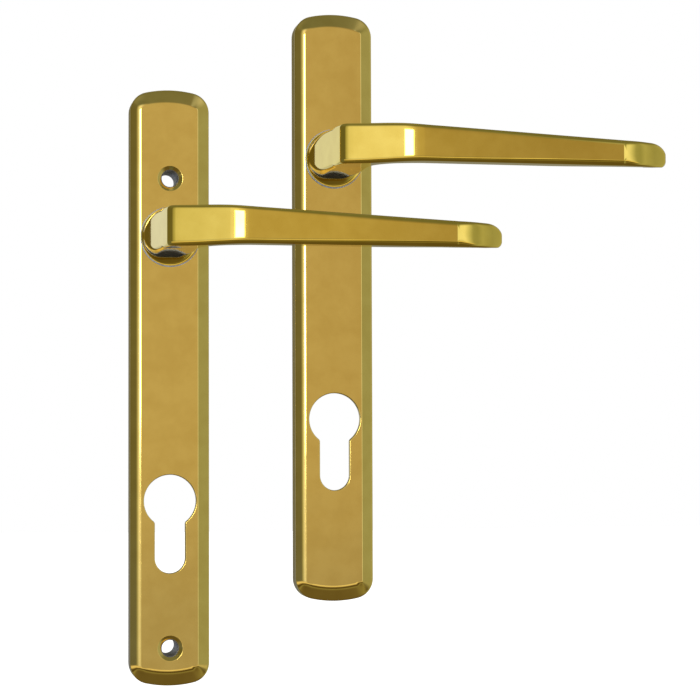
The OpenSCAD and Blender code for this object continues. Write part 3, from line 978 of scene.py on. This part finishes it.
CAD_FINISH = {
    "bearing_bush": NYLON, "face_washer": WASHER, "circlip": SPRING,
    "drive_cam": STEEL, "spring_cover": STEEL, "cover_screws": STEEL,
    "shim_washer": STEEL, "spindle": STEEL, "threaded_posts": STEEL,
}
for name, node in frame["nodes"].items():
    kind = name.removeprefix("inside_").removeprefix("outside_")
    if kind not in CAD_FINISH:
        continue
    node.data.materials.clear()
    node.data.materials.append(CAD_FINISH[kind])
    weld = node.modifiers.new("weld", "WELD")
    weld.merge_threshold = 0.000002
    edge = node.modifiers.new("edge", "BEVEL")
    edge.width = 0.00012
    edge.segments = 2
    edge.limit_method = "ANGLE"
    edge.angle_limit = math.radians(35)
    edge.use_clamp_overlap = True


# ---------------------------------------------------------------- floor, light and camera
def pale_floor():
    """A pale studio floor, well below the handles."""
    bm = bmesh.new()
    half, level = 8, CAD_BOUNDS[0].z - 0.25
    corners = ((-half, -half), (half, -half), (half, half), (-half, half))
    cap(bm, add_ring(bm, [(x, y, level) for x, y in corners]))
    mesh = bpy.data.meshes.new("floor")
    bm.to_mesh(mesh)
    bm.free()
    material, nodes, links, shader = new_material("pale_floor")
    patches = noise(nodes, links, 3, 3)
    tones = ((0.3, (0.9, 0.9, 0.9)), (0.7, (0.93, 0.93, 0.93)))
    links.new(ramp(nodes, links, patches, tones), shader.inputs["Base Color"])
    shader.inputs["Roughness"].default_value = 0.9
    shader.inputs["Emission Color"].default_value = (1, 1, 1, 1)
    shader.inputs["Emission Strength"].default_value = 0.95
    mesh.materials.append(material)
    floor = bpy.data.objects.new("floor", mesh)
    floor.visible_glossy = False
    add_to_scene(floor)


def soft_light(name, place, target, size, power):
    """A large soft light that shades the matt pieces and stays out of the brass's reflections."""
    data = bpy.data.lights.new(name, "AREA")
    data.shape = "RECTANGLE"
    data.size, data.size_y = size
    data.energy = power
    light = bpy.data.objects.new(name, data)
    light.location = place
    light.rotation_euler = (Vector(target) - Vector(place)).to_track_quat("-Z", "Y").to_euler()
    light.visible_glossy = False
    add_to_scene(light)


class Sky:
    """Builds the studio round the object as a world shader, from directions."""

    def __init__(self):
        world = bpy.data.worlds.new("studio")
        bpy.context.scene.world = world
        world.use_nodes = True
        self.nodes, self.links = world.node_tree.nodes, world.node_tree.links
        self.nodes.clear()

    def math(self, operation, *inputs):
        node = self.nodes.new("ShaderNodeMath")
        node.operation = operation
        for socket, value in zip(node.inputs, inputs):
            if isinstance(value, (int, float)):
                socket.default_value = value
            else:
                self.links.new(value, socket)
        return node.outputs[0]

    def step(self, value, low, high):
        """Smoothly from 0 at low to 1 at high."""
        node = self.nodes.new("ShaderNodeMapRange")
        node.interpolation_type = "SMOOTHSTEP"
        node.inputs["From Min"].default_value = low
        node.inputs["From Max"].default_value = high
        self.links.new(value, node.inputs["Value"])
        return node.outputs["Result"]

    def mix(self, share, a, b):
        node = self.nodes.new("ShaderNodeMix")
        node.data_type = "RGBA"
        if isinstance(share, (int, float)):
            node.inputs[0].default_value = share
        else:
            self.links.new(share, node.inputs[0])
        for socket, value in ((node.inputs[6], a), (node.inputs[7], b)):
            if isinstance(value, tuple):
                socket.default_value = (*value, 1)
            else:
                self.links.new(value, socket)
        return node.outputs[2]

    def bands(self, value, low, high, stops):
        """Colours along a value that runs from low to high."""
        node = self.nodes.new("ShaderNodeMapRange")
        node.inputs["From Min"].default_value = low
        node.inputs["From Max"].default_value = high
        self.links.new(value, node.inputs["Value"])
        places = [((place - low) / (high - low), colour) for place, colour in stops]
        return ramp(self.nodes, self.links, node.outputs["Result"], places)

    def window(self, value, low, high, soft):
        """1 between low and high, fading to 0 over a soft edge outside them."""
        return self.math("MULTIPLY", self.step(value, low - soft, low), self.step(value, high + soft, high))


# The bright panel near the camera: its sides, then its foot and top, in degrees, and its light.
PANEL_TURN, PANEL_RISE, PANEL_LIGHT = (-14.3, -5.2), (1, 10.5), (9.0, 9.0, 8.6)
# The light all round the room, and below it in front, as (angle in degrees, colour).
ROOM = (
    (-180, (0.19, 0.18, 0.12)), (-167, (0.17, 0.16, 0.1)), (-165, (0.8, 0.85, 0.9)),
    (-150, (0.8, 0.85, 0.9)), (-144, (0.18, 0.165, 0.1)), (-62, (0.16, 0.155, 0.11)),
    (-48, (0.19, 0.18, 0.13)), (-34, (0.55, 0.54, 0.46)), (-22, (1.05, 1.02, 1.25)),
    (-12, (1.15, 1.1, 1.3)), (2, (0.61, 0.515, 0.43)), (10, (0.58, 0.48, 0.4)),
    (15, (0.43, 0.345, 0.29)), (20, (0.43, 0.345, 0.29)), (25, (1.0, 1.02, 1.3)),
    (35, (1.1, 1.1, 1.4)), (42, (0.68, 0.7, 0.75)), (47, (0.4, 0.42, 0.38)),
    (53, (0.38, 0.4, 0.36)), (60, (0.5, 0.52, 0.52)), (75, (0.4, 0.42, 0.42)),
    (105, (0.5, 0.52, 0.5)), (140, (0.45, 0.46, 0.44)), (180, (0.19, 0.18, 0.12)),
)
FALL = (
    (-60, (0.15, 0.12, 0.07)), (-38, (0.2, 0.16, 0.09)), (-31, (0.34, 0.32, 0.2)),
    (-27, (0.11, 0.08, 0.03)), (-21, (0.12, 0.085, 0.035)), (-16, (0.9, 0.78, 0.6)),
    (-13, (1.0, 0.86, 0.75)), (-10, (0.6, 0.5, 0.4)),
)


def studio():
    """What the polished metal reflects: a dim warm room, a bright panel near the camera, white behind."""
    sky = Sky()
    place = sky.nodes.new("ShaderNodeTexCoord")
    split = sky.nodes.new("ShaderNodeSeparateXYZ")
    sky.links.new(place.outputs["Generated"], split.inputs[0])
    x, y, z = split.outputs
    turn = sky.math("MULTIPLY", sky.math("ARCTAN2", x, sky.math("MULTIPLY", y, -1.0)), 180 / math.pi)
    rise = sky.math("MULTIPLY", sky.math("ARCSINE", z), 180 / math.pi)
    level = sky.bands(turn, -180, 180, ROOM)
    low = sky.math("MULTIPLY", sky.math("MULTIPLY", sky.step(rise, 0, -5), 0.25), sky.step(turn, 40, 25))
    above = sky.mix(sky.step(rise, 20, 50), sky.mix(low, level, (0.17, 0.22, 0.41)), (0.2, 0.21, 0.19))
    overhead = sky.mix(sky.step(rise, 72, 88), above, (0.5, 0.5, 0.48))
    front = sky.window(turn, -60, 42, 12)
    fall = sky.bands(rise, -60, 0, FALL)
    shown = sky.math("MULTIPLY", front, sky.step(rise, -8.5, -11))
    under = sky.mix(shown, overhead, fall)
    below = sky.mix(sky.step(rise, -25, -55), under, (0.14, 0.11, 0.06))
    panel = sky.math("MULTIPLY", sky.window(turn, *PANEL_TURN, 2.6), sky.window(rise, *PANEL_RISE, 1.5))
    lit = sky.mix(panel, below, PANEL_LIGHT)
    path = sky.nodes.new("ShaderNodeLightPath")
    seen = sky.mix(path.outputs["Is Camera Ray"], lit, (1.0, 1.0, 1.0))
    background = sky.nodes.new("ShaderNodeBackground")
    output = sky.nodes.new("ShaderNodeOutputWorld")
    sky.links.new(seen, background.inputs["Color"])
    sky.links.new(background.outputs[0], output.inputs["Surface"])


def camera():
    """A long lens, a little to the left of the inside handle and below the middle of the plates."""
    data = bpy.data.cameras.new("camera")
    data.sensor_width = 36.0
    data.lens = 119.4
    cam = bpy.data.objects.new("camera", data)
    cam.location = (-0.0844, -0.8151, -0.0723)
    aim = Euler((math.radians(92.31), 0, math.radians(-10.41))).to_quaternion()
    cam.rotation_euler = (aim @ Quaternion((0, 0, 1), math.radians(-0.19))).to_euler()
    add_to_scene(cam)
    bpy.context.scene.camera = cam


pale_floor()
soft_light("key", (-0.5, -0.8, 0.9), (0, 0, 0), (0.9, 0.9), 12)
soft_light("fill", (0.9, 0.6, 0.5), (0, 0, -0.05), (0.8, 0.8), 5)
studio()
camera()
bpy.context.scene.view_settings.view_transform = "Standard"
